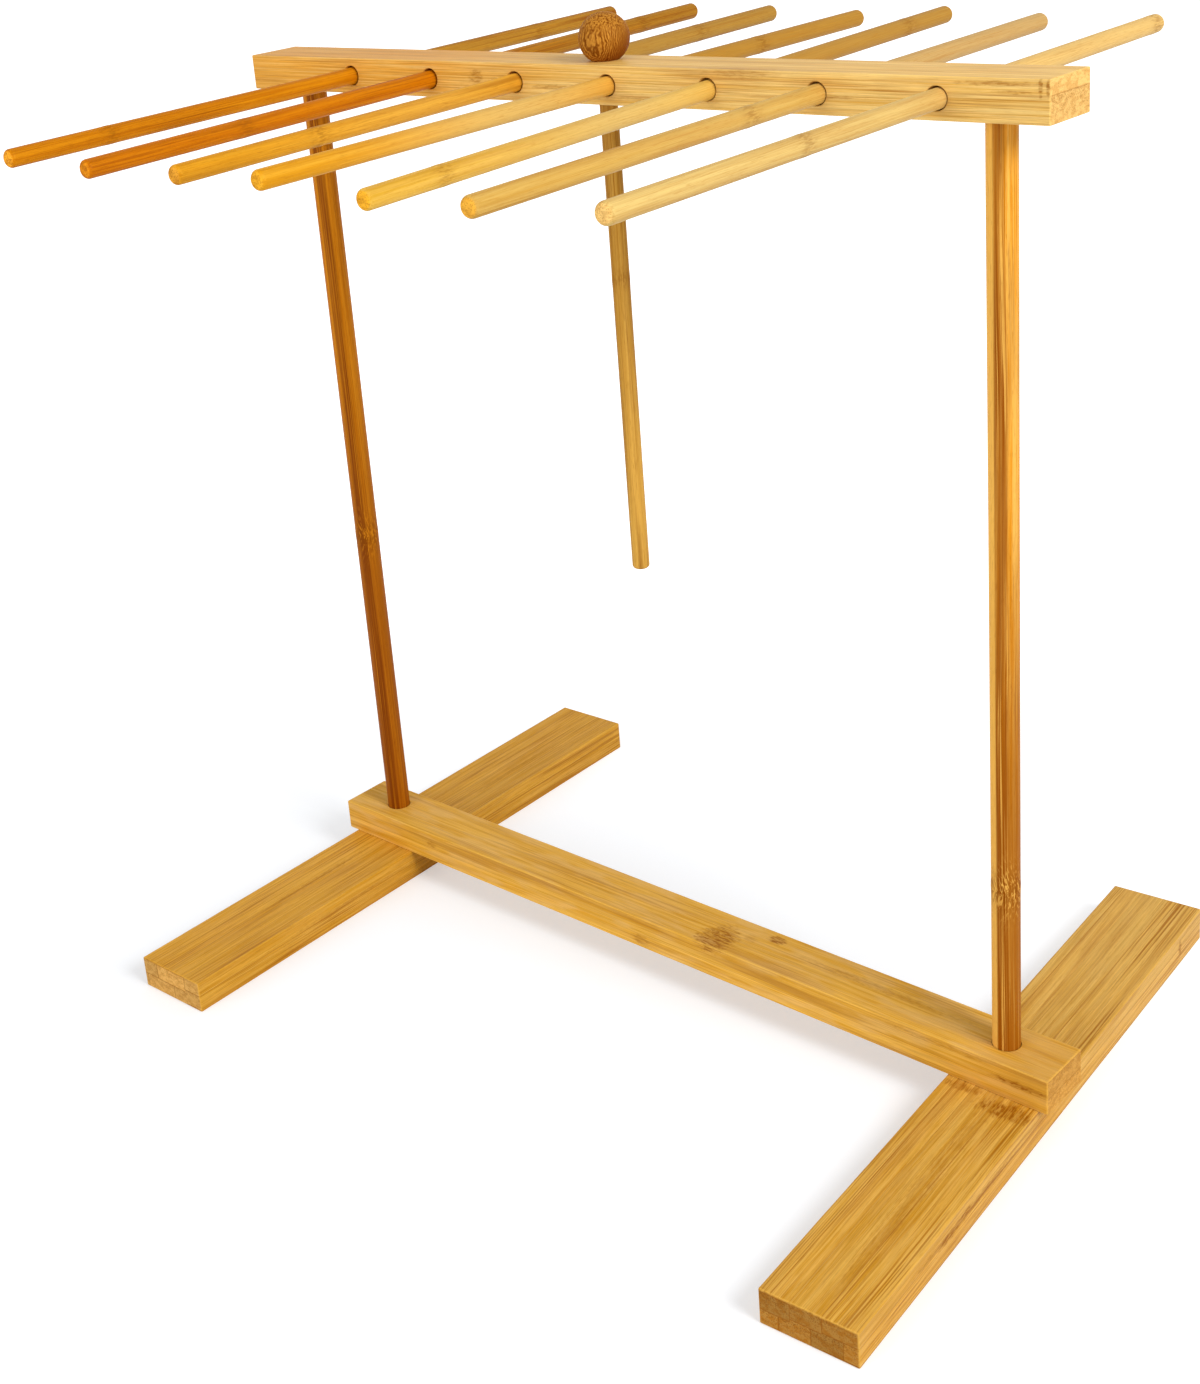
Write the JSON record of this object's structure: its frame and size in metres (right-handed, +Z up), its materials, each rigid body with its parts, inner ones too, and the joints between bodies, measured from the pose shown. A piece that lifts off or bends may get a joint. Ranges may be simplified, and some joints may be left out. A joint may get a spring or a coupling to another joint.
{
  "type": "pasta drying rack",
  "caption": "Free-standing bamboo drying rack: plank feet, a stretcher, round posts and a top beam with loose cross rods and a hanging ball-ended wand.",
  "frame": {"origin": "on the floor, midway between the posts and the feet", "axes": "+X to the right along the beam and the stretcher, +Y to the back along the rods and feet, +Z up"},
  "size_m": [0.427, 0.3797, 0.4552],
  "materials": {
    "bamboo_board": "laminated bamboo strip, sanded, satin oil",
    "bamboo_dowel": "turned bamboo dowel, sanded, satin oil",
    "dark_wood": "turned brown wood, satin oil",
    "screw_steel": "zinc-plated steel"
  },
  "bodies": {
    "frame": {"base_stretcher": "bamboo_board", "post_left": "bamboo_dowel", "post_right": "bamboo_dowel", "top_beam": "bamboo_board", "foot_screws": "screw_steel"},
    "left_foot": {"foot_left": "bamboo_board"},
    "right_foot": {"foot_right": "bamboo_board"},
    "wand": {"wand_stick": "bamboo_dowel", "wand_ball": "dark_wood"},
    "rod_1": {"drying_rod_1": "bamboo_dowel"},
    "rod_2": {"drying_rod_2": "bamboo_dowel"},
    "rod_3": {"drying_rod_3": "bamboo_dowel"},
    "rod_4": {"drying_rod_4": "bamboo_dowel"},
    "rod_5": {"drying_rod_5": "bamboo_dowel"},
    "rod_6": {"drying_rod_6": "bamboo_dowel"},
    "rod_7": {"drying_rod_7": "bamboo_dowel"}
  },
  "joints": [
    {"name": "left_foot_swivel", "type": "hinge", "parent": "frame", "child": "left_foot", "pos_m": [-0.1835, 0, 0], "axis": [0, 0, 1], "range_deg": [-91.5, 88.5]},
    {"name": "right_foot_swivel", "type": "hinge", "parent": "frame", "child": "right_foot", "pos_m": [0.1835, 0, 0], "axis": [0, 0, 1], "range_deg": [-94.4, 85.6]},
    {"name": "rod_1_slide", "type": "slide", "parent": "frame", "child": "rod_1", "axis": [0.0121, 0.9998, 0.0154], "range_m": [-0.15405, 0.18395]},
    {"name": "rod_2_slide", "type": "slide", "parent": "frame", "child": "rod_2", "axis": [0.0178, 0.9996, 0.0236], "range_m": [-0.1552, 0.1828]},
    {"name": "rod_3_slide", "type": "slide", "parent": "frame", "child": "rod_3", "axis": [-0.0021, 0.9998, 0.0182], "range_m": [-0.15566, 0.18234]},
    {"name": "rod_4_slide", "type": "slide", "parent": "frame", "child": "rod_4", "axis": [0.0004, 1, 0.0089], "range_m": [-0.15267, 0.18533]},
    {"name": "rod_5_slide", "type": "slide", "parent": "frame", "child": "rod_5", "axis": [-0.0193, 0.9996, 0.0221], "range_m": [-0.15106, 0.18694]},
    {"name": "rod_6_slide", "type": "slide", "parent": "frame", "child": "rod_6", "axis": [-0.0282, 0.9996, 0.0096], "range_m": [-0.146, 0.192]},
    {"name": "rod_7_slide", "type": "slide", "parent": "frame", "child": "rod_7", "axis": [-0.0296, 0.9995, 0.005], "range_m": [-0.14968, 0.18832]},
    {"name": "wand_lift", "type": "slide", "parent": "frame", "child": "wand", "axis": [0, 0, 1], "range_m": [0, 0.2105]}
  ]
}
